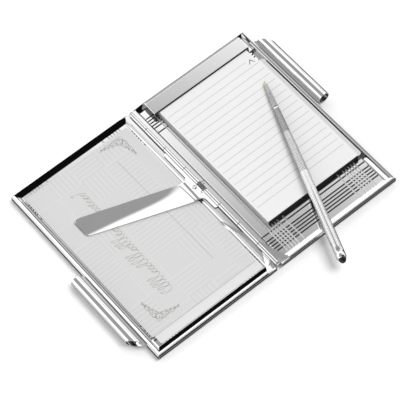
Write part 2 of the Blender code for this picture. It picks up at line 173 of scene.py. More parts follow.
class Wire:
    """A shader socket that takes part in plain arithmetic, one Math node for each operator."""

    def __init__(self, tree, socket=None):
        self.tree = tree
        self.socket = socket

    def node(self, kind, inputs=None, output=0, **settings):
        """Add a node: its settings first, then the values or links of its sockets."""
        made = self.tree.nodes.new(kind)
        for key, value in settings.items():
            setattr(made, key, value)
        for key, value in (inputs or {}).items():
            if isinstance(value, Wire):
                self.tree.links.new(value.socket, made.inputs[key])
            else:
                made.inputs[key].default_value = value
        return Wire(self.tree, made.outputs[output])

    def maths(self, operation, *values):
        return self.node("ShaderNodeMath", dict(enumerate(values)), operation=operation)

    __add__ = two_sided("ADD")
    __radd__ = two_sided("ADD", swapped=True)
    __sub__ = two_sided("SUBTRACT")
    __rsub__ = two_sided("SUBTRACT", swapped=True)
    __mul__ = two_sided("MULTIPLY")
    __rmul__ = two_sided("MULTIPLY", swapped=True)
    __truediv__ = two_sided("DIVIDE")
    __lt__ = two_sided("LESS_THAN")
    __gt__ = two_sided("GREATER_THAN")

    def __abs__(self):
        return self.maths("ABSOLUTE", self)

    def fraction(self):
        return self.maths("FRACT", self)

    def whole(self):
        return self.maths("FLOOR", self)

    def ramp(self, low, high):
        """0 below low, 1 above high and a smooth step between."""
        inputs = {"Value": self, "From Min": low, "From Max": high}
        return self.node("ShaderNodeMapRange", inputs, interpolation_type="SMOOTHSTEP")

    def mix(self, below, above):
        """A colour between two, with this wire as the share of the second."""
        inputs = {"Factor": self, 6: below, 7: above}
        return self.node("ShaderNodeMix", inputs, output=2, data_type="RGBA")

    def dot(self, direction):
        inputs = {0: self, 1: Vector(direction).normalized()}
        return self.node("ShaderNodeVectorMath", inputs, output="Value", operation="DOT_PRODUCT")


def colour(values):
    return (*values, 1.0)


def object_place(sheet):
    """The point of the surface as a vector in metres, and its parts in millimetres as three wires."""
    place = sheet.node("ShaderNodeTexCoord", output="Object")
    parts = [place.node("ShaderNodeSeparateXYZ", {0: place}, output=axis) for axis in "XYZ"]
    return place, [part / MM for part in parts]


def noise(place, scale, detail=3.0):
    inputs = {"Vector": place, "Scale": scale, "Detail": detail}
    return place.node("ShaderNodeTexNoise", inputs, output="Fac")


def stretched(place, factors):
    return place.node("ShaderNodeVectorMath", {0: place, 1: factors}, operation="MULTIPLY")


def new_finish(name, **fixed):
    """A Principled material with its fixed values set; returns it, its shader and a blank wire."""
    material = bpy.data.materials.new(name)
    material.use_nodes = True
    shader = material.node_tree.nodes["Principled BSDF"]
    for key, value in fixed.items():
        shader.inputs[key.replace("_", " ")].default_value = value
    return material, shader, Wire(material.node_tree)


def feed(shader, name, wire):
    wire.tree.links.new(wire.socket, shader.inputs[name])


def bump(height, strength, distance):
    inputs = {"Height": height, "Strength": strength, "Distance": distance * MM}
    return height.node("ShaderNodeBump", inputs, output="Normal")


def once(build):
    """Build a finish the first time it is asked for and keep it."""
    made = {}

    def wrapper(*args):
        if args not in made:
            made[args] = build(*args)
        return made[args]

    return wrapper


def clouded(cloud, tone, share):
    """A tone that falls to a share of itself where the cloud is thick."""
    return cloud.mix(colour(tone), colour(tuple(share * c for c in tone)))


@once
def plated_metal():
    """Bright plate with the faintest polishing marks and finger haze."""
    sizes = bpy.context.scene.notepad_cover
    edge_tint = (0.15, 0.15, 0.155, 1.0)
    material, shader, sheet = new_finish("plated_metal", Metallic=1.0, Specular_Tint=edge_tint)
    place, _ = object_place(sheet)
    cloud = noise(place, 60.0).ramp(0.45, 0.75)
    marks = noise(stretched(place, (400.0, 2600.0, 900.0)), 1.0, 2.0)
    feed(shader, "Roughness", cloud * 0.03 + 0.035)
    feed(shader, "Base Color", clouded(cloud, sizes.plate_colour, 0.97))
    feed(shader, "Normal", bump(marks, 0.02, 0.01))
    return material


@once
def cut_metal(name, level, roughness):
    """Satin metal, darker or lighter than the plate: the cut lines, the pen's nose and flutes, and the
    spring. On the cut lines, the nose and the flutes the darker and lighter copies are painted shade and
    painted light.
    """
    material, shader, sheet = new_finish(name, Metallic=1.0)
    place, _ = object_place(sheet)
    grain = noise(place, 2500.0, 2.0)
    feed(shader, "Roughness", grain * 0.15 + roughness)
    feed(shader, "Base Color", grain.mix(colour((level * 0.8,) * 3), colour((level,) * 3)))
    return material


@once
def bright_brass():
    sizes = bpy.context.scene.notepad_pen
    material, shader, sheet = new_finish("writing_brass", Metallic=1.0)
    place, _ = object_place(sheet)
    cloud = noise(place, 900.0)
    feed(shader, "Roughness", cloud * 0.1 + 0.14)
    feed(shader, "Base Color", clouded(cloud, sizes.brass_colour, 0.85))
    return material


@once
def gloss_black():
    material, shader, sheet = new_finish("gloss_black", Metallic=0.0, IOR=1.5)
    place, _ = object_place(sheet)
    cloud = noise(place, 500.0)
    feed(shader, "Base Color", cloud.mix(colour((0.004,) * 3), colour((0.009,) * 3)))
    feed(shader, "Roughness", cloud * 0.08 + 0.12)
    return material


@once
def plain_paper(name, tone):
    """Matt paper or cloth of one tone, given as a grey level or as a colour. Some of these are sheets of
    painted shade or painted light.
    """
    material, shader, sheet = new_finish(name)
    place, _ = object_place(sheet)
    grain = noise(place, 1800.0)
    if not isinstance(tone, tuple):
        tone = (tone,) * 3
    feed(shader, "Base Color", clouded(grain, tone, 0.9))
    feed(shader, "Roughness", grain * 0.2 + 0.7)
    feed(shader, "Normal", bump(grain, 0.2, 0.02))
    return material


# Matt black for sheets of painted shade: under the band's near edge, across the near end of the pad's
# carrier and across the near end of the pages.
def black_felt():
    return plain_paper("black_felt", 0.012)


# ---- shapes


class Shape:
    """Points and faces gathered patch by patch, in millimetres."""

    def __init__(self):
        self.points = []
        self.faces = []
        self.finishes = []

    def grid(self, rows, across=False, finish=None):
        """Quads between rows of equal length; across closes each row on itself."""
        start, width = len(self.points), len(rows[0])
        self.points += [Vector(point) for row in rows for point in row]
        for i in range(len(rows) - 1):
            a, b = start + i * width, start + (i + 1) * width
            for j in range(width if across else width - 1):
                k = (j + 1) % width
                self.faces.append([a + j, a + k, b + k, b + j])
                self.finishes.append(finish(i, j) if finish else 0)

    def cap(self, points):
        """One face over a closed outline."""
        start = len(self.points)
        self.points += [Vector(point) for point in points]
        self.faces.append(list(range(start, start + len(points))))
        self.finishes.append(0)

    def extrude(self, outline, place, low, high):
        """A closed outline carried from one level to another, with both ends capped."""
        ends = [[place(u, v, level) for u, v in outline] for level in (low, high)]
        self.grid(ends, across=True)
        self.cap(ends[0])
        self.cap(ends[1])


def add_piece(name, shape, body, finishes, stands_for=(), slot="plated_metal", sharp=20.0, **options):
    """Turn a shape into an object on the frame, riding on a body.

    The options are a sheet thickness, an edge radius and the distance within which points weld.
    """
    weld = options.get("weld", 0.002)
    bm = bmesh.new()
    verts = [bm.verts.new(TO_FRAME @ point) for point in shape.points]
    for corners, finish in zip(shape.faces, shape.finishes):
        face = bm.faces.new([verts[k] for k in corners])
        face.material_index = finish
        face.smooth = True
    bmesh.ops.remove_doubles(bm, verts=bm.verts, dist=weld * MM)
    bmesh.ops.dissolve_degenerate(bm, edges=bm.edges, dist=1e-7)
    bmesh.ops.recalc_face_normals(bm, faces=bm.faces)
    mesh = bpy.data.meshes.new(name)
    bm.to_mesh(mesh)
    bm.free()
    mesh.set_sharp_from_angle(angle=math.radians(sharp))
    for finish in finishes:
        mesh.materials.append(finish)
    piece = bpy.data.objects.new(name, mesh)
    bpy.context.collection.objects.link(piece)
    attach(piece, body)
    if "sheet" in options:
        thicken(piece, options["sheet"])
    if "edge" in options:
        soften(piece, options["edge"])
    shading = piece.modifiers.new("Shading", "WEIGHTED_NORMAL")
    shading.keep_sharp = True
    shading.weight = 80
    if stands_for:
        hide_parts(*stands_for)
    return piece


def thicken(piece, thickness):
    sheet = piece.modifiers.new("Sheet", "SOLIDIFY")
    sheet.thickness = thickness * MM
    sheet.offset = -1.0
    sheet.use_even_offset = True


def soften(piece, width):
    edge = piece.modifiers.new("Edge", "BEVEL")
    edge.width = width * MM
    edge.segments = 2
    edge.limit_method = "ANGLE"
    edge.angle_limit = math.radians(30.0)


def upright(u, v, level):
    return (u, v, level)


def along_hinge(u, v, level):
    return (u, level, v)


def crosswise(u, v, level):
    return (level, u, v)


def add_slab(name, outline, low, high, body, finish, stands_for=(), slot="paper", place=upright):
    """A flat sheet or block of one finish: an outline carried between two levels."""
    shape = Shape()
    shape.extrude(outline, place, low, high)
    add_piece(name, shape, body, [finish], stands_for, slot, sharp=40.0)


def arc(centre, radius, start, end, steps):
    """Points of an arc in a plane, angles in degrees."""
    points = []
    for k in range(steps + 1):
        angle = math.radians(start + (end - start) * k / steps)
        points.append((centre[0] + radius * math.cos(angle), centre[1] + radius * math.sin(angle)))
    return points


def ring(centre, radius, steps):
    """Points once round a circle."""
    return arc(centre, radius, 0, 360, steps)[:-1]


def rectangle(x_low, y_low, x_high, y_high):
    return [(x_low, y_low), (x_high, y_low), (x_high, y_high), (x_low, y_high)]


def rounded_path(corners, radii, steps):
    """A path through corners, each rounded by its own radius."""
    points = []
    count = len(corners)
    for k, (corner, radius) in enumerate(zip(corners, radii)):
        here = Vector(corner)
        if radius == 0:
            points.append(here)
            continue
        before = Vector(corners[k - 1]) - here
        after = Vector(corners[(k + 1) % count]) - here
        half = before.angle(after) / 2
        reach = radius / math.tan(half)
        before.normalize()
        after.normalize()
        centre = here + (before + after).normalized() * radius / math.sin(half)
        start = here + before * reach - centre
        sweep = start.angle_signed(here + after * reach - centre)
        for step in range(steps + 1):
            turned = start.copy()
            turned.rotate(Matrix.Rotation(-sweep * step / steps, 2))
            points.append(centre + turned)
    return points


def on_line(x, start, end):
    """The value at x on the straight line through two points of (position, value)."""
    return start[1] + (end[1] - start[1]) * (x - start[0]) / (end[0] - start[0])


def between(x, stations):
    """Straight lines through stations of (position, value), level beyond both ends."""
    if x <= stations[0][0]:
        return stations[0][1]
    for start, end in zip(stations, stations[1:]):
        if x <= end[0]:
            return on_line(x, start, end)
    return stations[-1][1]


def fall_away(radius, reach):
    """How far a circle has left its tangent at a reach from where they touch."""
    return radius - math.sqrt(max(radius**2 - reach**2, 0.0))


def smooth_step(share):
    share = min(max(share, 0.0), 1.0)
    return share * share * (3 - 2 * share)


# ---- covers


def groove_lines(first, last, pitch, gap):
    """Centres of the engraved lines: from either end a close group, then one line apart."""
    close_lines = 5
    steps = [pitch * k for k in range(close_lines)]
    steps.append(steps[-1] + gap)
    return [first + step for step in steps] + [last - step for step in reversed(steps)]


def grid_stations(low, high, lines, width):
    """Grid positions across the engraved lines, each with how deep it is cut there."""
    margin = 0.4
    stations = {low: 0.0, low + margin: 0.0, high - margin: 0.0, high: 0.0}
    for line in lines:
        stations[line - width / 2] = 0.0
        stations[line] = 1.0
        stations[line + width / 2] = 0.0
    return sorted(stations.items())


# The rings of a tray's walls from the floor outwards. Each holds its height, then how far in it lies
# from the spine, the near end of the pad's tray, the near end of the card's tray, the far end and the
# long edge. The ring before the last folds the near wall in under its crown.
RINGS = [
    (1.60, 3.90, 5.00, 6.20, 3.10, 5.20),
    (1.62, 3.80, 4.90, 6.10, 3.05, 5.10),
    (1.70, 3.65, 4.60, 5.95, 2.95, 4.95),
    (1.90, 3.40, 3.85, 5.50, 2.75, 4.60),
    (2.20, 3.15, 2.70, 4.83, 2.45, 4.15),
    (2.60, 2.85, 1.90, 3.93, 2.10, 3.65),
    (3.00, 2.60, 1.70, 3.03, 1.75, 3.25),
    (3.30, 2.40, 1.60, 2.36, 1.50, 2.95),
    (3.80, 2.15, 1.45, 1.25, 1.05, 2.60),
    (4.20, 1.90, 1.20, 1.10, 0.70, 2.35),
    (4.40, 1.60, 1.10, 1.00, 0.52, 2.05),
    (4.52, 1.30, 0.98, 0.90, 0.42, 1.60),
    (4.60, 1.00, 0.82, 0.82, 0.34, 1.15),
    (4.65, 0.70, 0.60, 0.60, 0.26, 0.75),
    (4.62, 0.45, 0.38, 0.38, 0.18, 0.50),
    (4.45, 0.20, 0.15, 0.15, 0.08, 0.22),
    (4.20, 0.05, 1.20, 1.10, 0.03, 0.07),
    (3.70, 0.00, 0.00, 0.00, 0.00, 0.00),
]


def tray_walls(side):
    """The rings of one tray, each with its height and the low and high x and y of its outline."""
    own_near = 2 if side > 0 else 3
    walls = []
    for row in RINGS:
        z, spine, near, far, edge = row[0], row[1], row[own_near], row[4], row[5]
        walls.append((z, SPINE_GAP + spine, COVER_WIDTH - edge, near - HALF_LENGTH, HALF_LENGTH - far))
    return walls


def rim_height(x, sizes):
    """The most a tray rises at a distance x from the hinge: the rim is lower beside the spine."""
    return sizes.spine_rim + 0.85 * smooth_step((x - SPINE_GAP - 2.2) / 3.8)


def tray_shape(side, sizes):
    """The pressed tray of one cover, with its engraved floor."""
    walls = tray_walls(side)
    floor, x_low, x_high, y_low, y_high = walls[0]
    down = groove_lines(x_low + 5.6, x_high - 5.6, 2.08, 4.1)
    cross = groove_lines(y_low + 4.7, -y_low - 3.8, 2.1, 3.9)
    xs = grid_stations(x_low, x_high, down, sizes.groove_width)
    ys = grid_stations(y_low, y_high, cross, sizes.groove_width)

    def depth(x, y):
        return sizes.groove_depth * max(x[1], y[1])

    # Cut lines along the hinge are painted light and those across it painted shade, both satin metal; where
    # two cross, the painted light wins.
    def finish(i, j):
        if xs[j][1] or xs[j + 1][1]:
            return 2
        return 1 if ys[i][1] or ys[i + 1][1] else 0

    shape = Shape()
    shape.grid([[(side * x[0], y[0], floor - depth(x, y)) for x in xs] for y in ys], finish=finish)
    across = [(x[0] - x_low) / (x_high - x_low) for x in xs]
    up = [(y[0] - y_low) / (y_high - y_low) for y in ys]
    loop = [(u, 0.0) for u in across[:-1]] + [(1.0, v) for v in up[:-1]]
    loop += [(u, 1.0) for u in reversed(across[1:])] + [(0.0, v) for v in reversed(up[1:])]
    rows = []
    for z, x_a, x_b, y_a, y_b in walls:
        row = []
        for u, v in loop:
            x = x_a + (x_b - x_a) * u
            row.append((side * x, y_a + (y_b - y_a) * v, min(z, rim_height(x, sizes))))
        rows.append(row)
    rows.append([(u, v, TRAY_LOW.z) for u, v, _ in rows[-1]])
    shape.grid(rows, across=True)
    return shape


def shell_shape(side):
    """The outer shell: a flat back with rounded edges and an upright skirt."""
    profile = rounded_path([(6.0, 0.0), (0.0, 0.0), (0.0, SHELL_HIGH.z)], [0, 2.0, 0], 10)
    rows = []
    for inset, z in profile:
        y = HALF_LENGTH - inset
        corners = rectangle(SPINE_GAP + inset * 0.6, -y, COVER_WIDTH - inset, y)
        rows.append([(side * u, v, z) for u, v in rounded_path(corners, [0.4, 0.66, 0.66, 0.4], 4)])
    shape = Shape()
    shape.grid(rows, across=True)
    shape.cap(rows[0])
    return shape


class NOTEPAD_OT_covers(bpy.types.Operator):
    """Build the shells and the engraved trays of both covers"""

    bl_idname = "notepad.covers"
    bl_label = "Covers"

    def execute(self, context):
        sizes = context.scene.notepad_cover
        plate = plated_metal()
        # The plate, then the satin of the cut lines as painted shade and as painted light.
        finishes = [plate, cut_metal("engraved_dark", 0.10, 0.35), cut_metal("engraved_light", 0.95, 0.45)]
        for name, side in SIDES:
            body = f"{name}_cover"
            add_piece(
                f"{body}_tray_pressed", tray_shape(side, sizes), body, finishes, [f"{body}_tray"],
                sharp=16.0, sheet=SHEET * 0.8,
            )
            add_piece(
                f"{body}_shell_pressed", shell_shape(side), body, [plate], [f"{body}_shell"], sheet=SHEET
            )
        self.add_rim_mouth_painted_shade()
        return {"FINISHED"}

    def add_rim_mouth_painted_shade(self):
        """A glossy black drop-shaped sheet where the hollow rim ends: painted shade for the dark mouth of
        the rim.
        """
        z, steps = TRAY_HIGH.z + 0.02, 14
        rows = []
        for k in range(steps + 1):
            share = k / steps
            half_width = 0.66 * math.sin(math.pi * share**0.55)
            x, y = 86.6 + 0.9 * share, 61.0 + 7.4 * share
            rows.append([(x - half_width, y, z), (x + half_width, y, z)])
        shape = Shape()
        shape.grid(rows)
        add_piece("rim_mouth_painted_shade", shape, "pad_cover", [gloss_black()], (), sheet=0.02, weld=0.0001)


# ---- hinge


# Radii of a knuckle outside and round the pin, and the height at which a leaf starts.
KNUCKLE_OUTER, KNUCKLE_INNER = 1.4, 0.72
LEAF_FOOT = 0.9


def knuckle_outline(side):
    """A leaf's sheet, seen along the hinge: up from the cover's side and rolled round the pin."""
    centre = (0.0, HINGE_Z)
    points = [(KNUCKLE_OUTER, LEAF_FOOT)] + arc(centre, KNUCKLE_OUTER, 0, 320, 32)
    points += arc(centre, KNUCKLE_INNER, 320, 0, 24) + [(KNUCKLE_INNER, LEAF_FOOT)]
    return [(side * u, v) for u, v in points]


def knuckle_spans(node):
    """Where a hinge piece has knuckles: stretches along y whose points reach over the pin."""
    points = [TO_MM @ vertex.co for vertex in frame["nodes"][node].data.vertices]
    levels = sorted({round(point.y, 2) for point in points if point.z > HINGE_Z + 1.0})
    return list(zip(levels[::2], levels[1::2]))


class NOTEPAD_OT_hinge(bpy.types.Operator):
    """Roll the leaves, their knuckles and the pin of the hinge"""

    bl_idname = "notepad.hinge"
    bl_label = "Hinge"

    def execute(self, context):
        plate = plated_metal()
        for name, side in SIDES:
            node = f"{name}_hinge_leaf"
            shape = Shape()
            for y_low, y_high in knuckle_spans(node):
                shape.extrude(knuckle_outline(side), along_hinge, y_low, y_high)
            low, high = box_of(node)
            strip = rectangle(side * 0.8, LEAF_FOOT, side * KNUCKLE_OUTER, 3.1)
            shape.extrude(strip, along_hinge, low.y, high.y)
            add_piece(f"{node}_rolled", shape, f"{name}_cover", [plate], [node], edge=0.09)
        self.add_pin(plate)
        return {"FINISHED"}

    def add_pin(self, plate):
        """The pin, with a domed head at each end."""
        low, high = box_of("hinge_pin")
        head = ((0.01, 0.0), (0.6, 0.06), (0.95, 0.25), (1.1, 0.6), (1.1, 0.9), (0.6, 0.9))
        profile = [(radius, high.y - drop) for radius, drop in head]
        profile += [(radius, low.y + drop) for radius, drop in reversed(head)]
        shape = Shape()
        shape.grid(
            [[(u, y, v) for u, v in ring((0.0, HINGE_Z), radius, 32)] for radius, y in profile], across=True
        )
        add_piece("hinge_pin_headed", shape, "pad_cover", [plate], ["hinge_pin"], sharp=35.0)


# ---- pen tubes


def tube_outline(side):
    """The tube's sheet seen end on: a flange from the cover that curls into an open tube."""
    low, high = box_of("pad_pen_tube")
    wall, root = 0.45, 4.5
    outer = (high.z - low.z) / 2
    centre = (high.x - outer, (high.z + low.z) / 2)
    points = [(low.x, root)] + arc(centre, outer, 175, -150, 44)
    points += arc(centre, outer - wall, -150, 172, 36) + [(low.x, root - wall)]
    return [(side * u, v) for u, v in points]


def tube_shape(side):
    """The curled sheet along the cover's edge, square at one end and slanted at the other."""
    low, high = box_of("pad_pen_tube")
    outline = tube_outline(side)
    short_end = 50.2
    slope = (high.y - short_end) / (high.x - low.x)
    rows = []
    for share in (0.0, 0.02, 0.5, 0.98, 1.0):
        row = []
        for u, v in outline:
            end = high.y - slope * (abs(u) - low.x)
            row.append((u, side * (low.y + (end - low.y) * share), v))
        rows.append(row)
    shape = Shape()
    shape.grid(rows, across=True)
    half = len(outline) // 2
    for row in (rows[0], rows[-1]):
        shape.grid([row[:half], row[::-1][:half]])
    return shape


class NOTEPAD_OT_tubes(bpy.types.Operator):
    """Curl the two halves of the pen tube"""

    bl_idname = "notepad.tubes"
    bl_label = "Pen tubes"

    def execute(self, context):
        plate = plated_metal()
        for name, side in SIDES:
            node = f"{name}_pen_tube"
            add_piece(f"{node}_curled", tube_shape(side), f"{name}_cover", [plate], [node], sharp=30.0)
        return {"FINISHED"}


# ---- band, arm and spring


class NOTEPAD_OT_band(bpy.types.Operator):
    """Bend the band over the head of the pad"""

    bl_idname = "notepad.band"
    bl_label = "Band"

    def execute(self, context):
        low, high = box_of("retaining_band")
        near, bend, lip = low.y, 67.6, 69.3
        turn, flat, steps = bend - 0.5, high.z - 0.1, 8
        corners = [(low.x, low.z), (low.x, flat), (high.x, flat), (high.x, low.z)]
        section = rounded_path(corners, [0, 0.7, 0.7, 0], 6)
        rows = []
        for y in [near, bend - 0.7, turn] + [turn + (lip - turn) * k / steps for k in range(1, steps + 1)]:
            over = max(y - turn, 0.0)
            drop = 0.95 * over - 0.3 * (1 - math.exp(-over / 0.3))
            foot = low.z + 1.6 * max(y - 63.5, 0.0)
            row = []
            for x, z in section:
                slope = between(x, ((low.x, 0.021), (high.x, 0.037)))
                top = z + slope * (min(y, bend) - near) - drop
                row.append((x, y, top if z > flat - 1.0 else max(z, min(foot, top - 0.3))))
            rows.append(row)
        shape = Shape()
        shape.grid(rows)
        add_piece(
            "retaining_band_bent", shape, "pad_cover", [plated_metal()], ["retaining_band"],
            sheet=0.55, edge=0.06,
        )
        # A black strip under the near edge of the band: painted shadow in the gap between the band and the
        # paper.
        outline = rectangle(low.x + 1.5, near - 0.85, high.x - 1.0, near + 0.9)
        add_slab("band_painted_shadow", outline, 5.8, 6.3, "pad_cover", black_felt(), slot="plated_metal")
        return {"FINISHED"}


def arm_edges(x):
    """The arm's lower and upper edge at x: a strip that flares into a T at the hinge."""
    low, high = box_of("clip_arm")
    root, fillet, corner, tip = -3.5, 2.6, 1.4, -70.0
    upper = on_line(x, (-5.5, 10.2), (-69.9, 33.4))
    lower = on_line(x, (-6.9, -4.7), (-71.0, 19.7))
    if x > root - fillet:
        rise = fall_away(fillet, x - root + fillet)
        upper = max(upper, 10.2) + rise
        lower = min(lower, -4.4) - rise
    if x > root + 0.01:
        back = fall_away(corner, max(corner - (x - root), 0.0))
        upper, lower = high.y - back, low.y + back
    if x < tip + 2.0:
        upper -= 0.3 * (tip + 2.0 - x) ** 2
        lower += 0.703125 * max(tip + 0.6 - x, 0.0) ** 2
    return lower, upper


def arm_knuckle():
    """The end of the arm's sheet rolled round the pin, seen along the hinge."""
    centre = (0.0, HINGE_Z)
    points = [(-1.2, 4.8), (-0.9, 4.8)] + arc(centre, KNUCKLE_OUTER, 170, -150, 32)
    points += arc(centre, KNUCKLE_INNER, -150, 180, 24) + [(-1.2, 4.3)]
    return points


class NOTEPAD_OT_arm(bpy.types.Operator):
    """Shape the clip arm with its knuckles and its rivet, and give the spring on the pin its finish"""

    bl_idname = "notepad.arm"
    bl_label = "Clip arm"

    dish: number("Dish", "Rise of the arm's edges", 0.36)

    def execute(self, context):
        plate = plated_metal()
        far, joggle, steps, across = box_of("clip_arm")[0].x, -9.5, 24, 18
        tip = far + 1.5
        stations = [far, far + 0.15, far + 0.4, far + 0.8, tip]
        stations += [tip + (joggle - tip) * k / steps for k in range(1, steps + 1)]
        stations += [joggle + 0.3 * k for k in range(1, 19)]
        stations += [-3.7, -3.52, -3.48, -3.3, -3.0, -2.6, -2.1, -1.5, -0.8]
        rows = []
        for x in stations:
            lower, upper = arm_edges(x)
            rows.append([self.surface(x, lower, upper, 1 - 2 * j / across) for j in range(across + 1)])
        shape = Shape()
        shape.grid(rows)
        add_piece("clip_arm_blade", shape, "clip_arm", [plate], ["clip_arm"], sheet=0.6, edge=0.12)
        knuckles = Shape()
        for y_low, y_high in knuckle_spans("clip_arm"):
            knuckles.extrude(arm_knuckle(), along_hinge, y_low, y_high)
        add_piece("clip_arm_knuckles", knuckles, "clip_arm", [plate], edge=0.09)
        self.add_rivet(plate)
        spring = frame["nodes"]["torsion_spring"].data
        spring.materials.clear()
        spring.materials.append(cut_metal("spring_wire", 0.3, 0.25))
        return {"FINISHED"}

    def surface(self, x, lower, upper, across):
        """A point of the arm's underside; across runs from -1 at its lower edge to 1.

        The arm steps down past its root, which keeps it clear of the pad when the covers close.
        Its face is dished, and its lowest line wanders from the lower edge at the tip to the upper
        edge at the root.
        """
        z = 4.26 - 1.74 * smooth_step((-5.9 - x) / 3.2) - 0.065 * max(x + 5.5, 0.0)
        along = min(max((x + 72.0) / 63.0, 0.0), 1.0)
        trough = -0.9 + 1.6 * along - 0.4 * along**2 + 0.9 * along**10
        blend = smooth_step((-5.0 - x) / 5.0)
        z += blend * self.dish * (math.hypot(across - trough, 0.22) - 0.22)
        return (x, lower + (upper - lower) * (across + 1) / 2, z)

    def add_rivet(self, plate):
        """A round head with a slight hollow in its middle."""
        low, high = box_of("arm_rivet")
        centre, radius = (low + high) / 2, (high.x - low.x) / 2
        profile = [(0.02, high.z - 0.03), (radius * 0.45, high.z - 0.05), (radius * 0.55, high.z)]
        profile += [(radius * 0.85, high.z - 0.06), (radius, high.z - 0.3), (radius, 4.7)]
        shape = Shape()
        shape.grid([[(u, v, z) for u, v in ring(centre, r, 28)] for r, z in profile], across=True)
        add_piece("arm_rivet_head", shape, "clip_arm", [plate], ["arm_rivet"], sharp=30.0)


# ---- notepad


def stepped_corners(low, high, wide):
    """Corners of a sheet: wide up to the index tab and narrower beside the band."""
    step = (81.0, 47.2)
    return [(low.x, low.y), (wide, low.y), (wide, step[1]), step, (step[0], high.y), (low.x, high.y)]


def pad_outline(corner=0.4):
    """The outline that the carrier, the pages and the top sheet share."""
    low, high = box_of("top_sheet")
    return rounded_path(stepped_corners(low, high, high.x), [corner, corner, 2.0, 0.3, 0.3, 0.3], 5)


@once
def ruled_paper():
    """White paper with fine grain and printed lines."""
    sizes = bpy.context.scene.notepad_pad
    material, shader, sheet = new_finish("ruled_paper", Roughness=0.85)
    place, (x, y, _) = object_place(sheet)
    low, high = box_of("top_sheet")
    y = y - HINGE.y / MM
    first, gaps = 50.8, 16
    last = first - gaps * sizes.line_pitch
    off = abs(((y - first) / sizes.line_pitch + 0.5).fraction() - 0.5) * sizes.line_pitch
    line = off < sizes.line_width / 2
    line = line * (y < first + 1.0) * (y > last - 1.0) * (x > low.x + 1.4) * (x < high.x - 1.6)
    tab = (x > 75.0) * (y > first - 1.0)
    grain = noise(place, 1500.0)
    ground = clouded(grain, sizes.paper_colour, 0.97)
    ink = noise(place, 3000.0).ramp(0.2, 0.7) * 0.5 + 0.5
    feed(shader, "Base Color", (line * (1 - tab) * ink).mix(ground, colour(sizes.line_colour)))
    feed(shader, "Normal", bump(grain, 0.15, 0.02))
    return material


class NOTEPAD_OT_pad(bpy.types.Operator):
    """Stack the pad: carrier, board, pages, glued head and the ruled top sheet"""

    bl_idname = "notepad.pad"
    bl_label = "Notepad"

    def execute(self, context):
        self.add_carrier()
        self.add_board()
        self.add_pages()
        self.add_foot()
        self.add_top_sheet()
        self.add_mark()
        self.add_head()
        return {"FINISHED"}

    def add_carrier(self):
        """The shallow pan under the pad, with a small radius round its top."""
        low, high = box_of("pad_carrier")
        radius = 0.4
        levels = [(0.0, low.z)]
        for angle in (0.0, 0.4, 0.8, 1.2, math.pi / 2):
            levels.append((radius - radius * math.cos(angle), high.z - radius + radius * math.sin(angle)))
        rows = []
        for inset, z in levels:
            row = []
            for u, v in pad_outline(0.9):
                u = min(max(u, low.x + inset), high.x - inset)
                v = min(max(v, low.y + inset), high.y - inset)
                row.append((u, v, z))
            rows.append(row)
        near_end = [abs(point[1] - low.y) < 0.02 for point in rows[0]]

        def finish(i, j):
            """Plate round the top, black painted shade across the near end, and along the rest a light grey
            matt sheet of painted light.
            """
            if i > 2:
                return 0
            return 1 if near_end[j] and near_end[(j + 1) % len(near_end)] else 2

        shape = Shape()
        shape.grid(rows, across=True, finish=finish)
        shape.cap(rows[-1])
        finishes = [plated_metal(), black_felt(), plain_paper("satin_side", 0.7)]
        add_piece("pad_carrier_pressed", shape, "notepad", finishes, ["pad_carrier"], sheet=SHEET * 0.8)

    def add_board(self):
        """The grey board, wider than the sheets beside their ruled part."""
        low, high = box_of("backing_board")
        outline = rounded_path(stepped_corners(low, high, 85.2), [0.4, 1.5, 1.5, 0.3, 0.3, 0.4], 5)
        add_slab(
            "backing_board_cut", outline, low.z - 0.2, high.z, "notepad", plain_paper("grey_board", 0.66),
            ["backing_board"], "grey_board",
        )

    def add_foot(self):
        """A black strip across the near end of the pages: painted shade for the dark near end of the pad."""
        low = box_of("backing_board")[0]
        outline = rectangle(low.x + 0.4, low.y - 0.3, 82.0, low.y - 0.02)
        add_slab("pad_foot_painted_shade", outline, 1.95, 5.35, "notepad", black_felt())

    def add_top_sheet(self):
        low, high = box_of("top_sheet")
        sheet = ruled_paper()
        add_slab("top_sheet_ruled", pad_outline(), low.z + 0.05, high.z, "notepad", sheet, ["top_sheet"])

    def add_head(self):
        """The strip of cloth glued over the far end of the pages."""
        low, high = box_of("glued_head_strip")
        outline = rounded_path(rectangle(low.y, low.z, high.y, high.z), [0, 0.15, 0.15, 0], 4)
        add_slab(
            "glued_head_strip_cloth", outline, low.x, high.x, "notepad", plain_paper("head_cloth", 0.6),
            ["glued_head_strip"], place=crosswise,
        )

    def add_pages(self):
        """Thin leaves, none of them quite flush with the next."""
        chance = random.Random(4)
        foot, top = box_of("backing_board")[1].z + 0.02, box_of("top_sheet")[0].z
        leaves, gap = 10, 0.012
        pitch = (top - foot) / leaves
        shape = Shape()
        for leaf in range(leaves):
            shift = Vector((chance.uniform(-0.05, 0.05), chance.uniform(0.0, 0.1)))
            outline = [Vector(point) + shift for point in pad_outline()]
            shape.extrude(outline, upright, foot + pitch * leaf, foot + pitch * (leaf + 1) - gap)
        paper = plain_paper("page_edges", 0.7)
        add_piece(
            "page_block_leaves", shape, "notepad", [paper], ["page_block"], "paper", sharp=40.0, weld=0.0001
        )

    def add_mark(self):
        """A small open chevron printed in the tab's corner."""
        z, half_width = box_of("top_sheet")[1].z + 0.004, 0.23
        points = [Vector(point) for point in ((79.3, 47.7), (77.9, 50.6), (76.0, 48.0))]
        shape = Shape()
        for a, b in zip(points, points[1:]):
            across = (b - a).orthogonal().normalized() * half_width
            ahead = (b - a).normalized() * half_width
            corners = (a - across - ahead, b - across + ahead, b + across + ahead, a + across - ahead)
            shape.cap([(*corner, z) for corner in corners])
        grey = plain_paper("print_grey", 0.03)
        add_piece("index_chevron", shape, "notepad", [grey], (), "paper", sheet=0.003)


# ---- card


